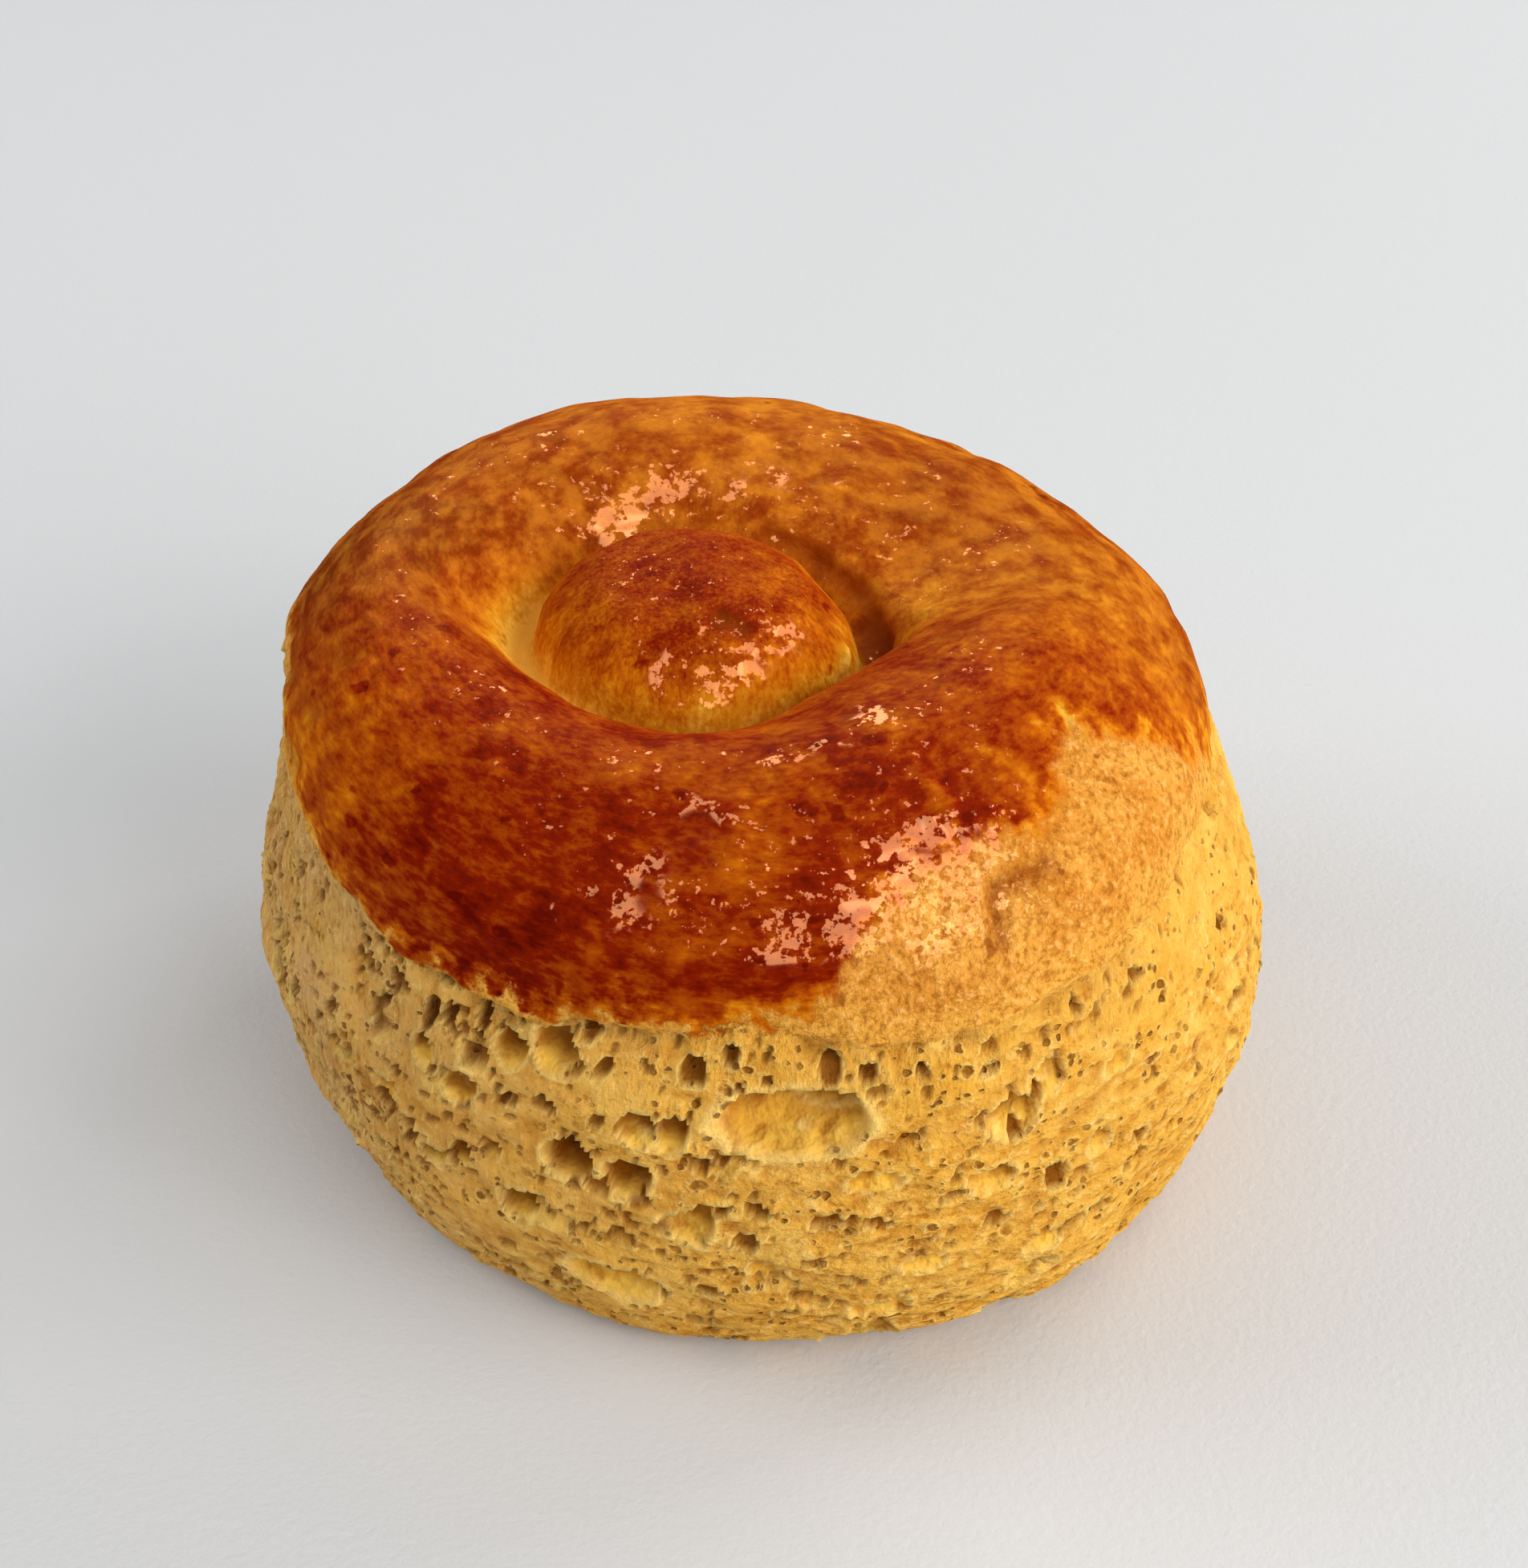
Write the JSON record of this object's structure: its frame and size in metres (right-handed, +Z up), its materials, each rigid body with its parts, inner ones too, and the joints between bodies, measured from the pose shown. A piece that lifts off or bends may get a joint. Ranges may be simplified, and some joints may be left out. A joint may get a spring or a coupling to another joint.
{
  "type": "scone",
  "caption": "Round baked scone with a flat base, a bulging open-crumb side, a glazed ring-shaped top crust and a button of dough in the groove at its middle.",
  "frame": {"origin": "middle of the footprint's bounding box, on the surface that the scone rests on", "axes": "+Z up from the flat base to the crust, -Y towards the side with the large open pores, +X towards the paler, less glazed side"},
  "size_m": [0.0684, 0.0688, 0.0408],
  "materials": {
    "baked_dough": "satin"
  },
  "bodies": {
    "root": {"scone": "baked_dough"}
  },
  "joints": []
}
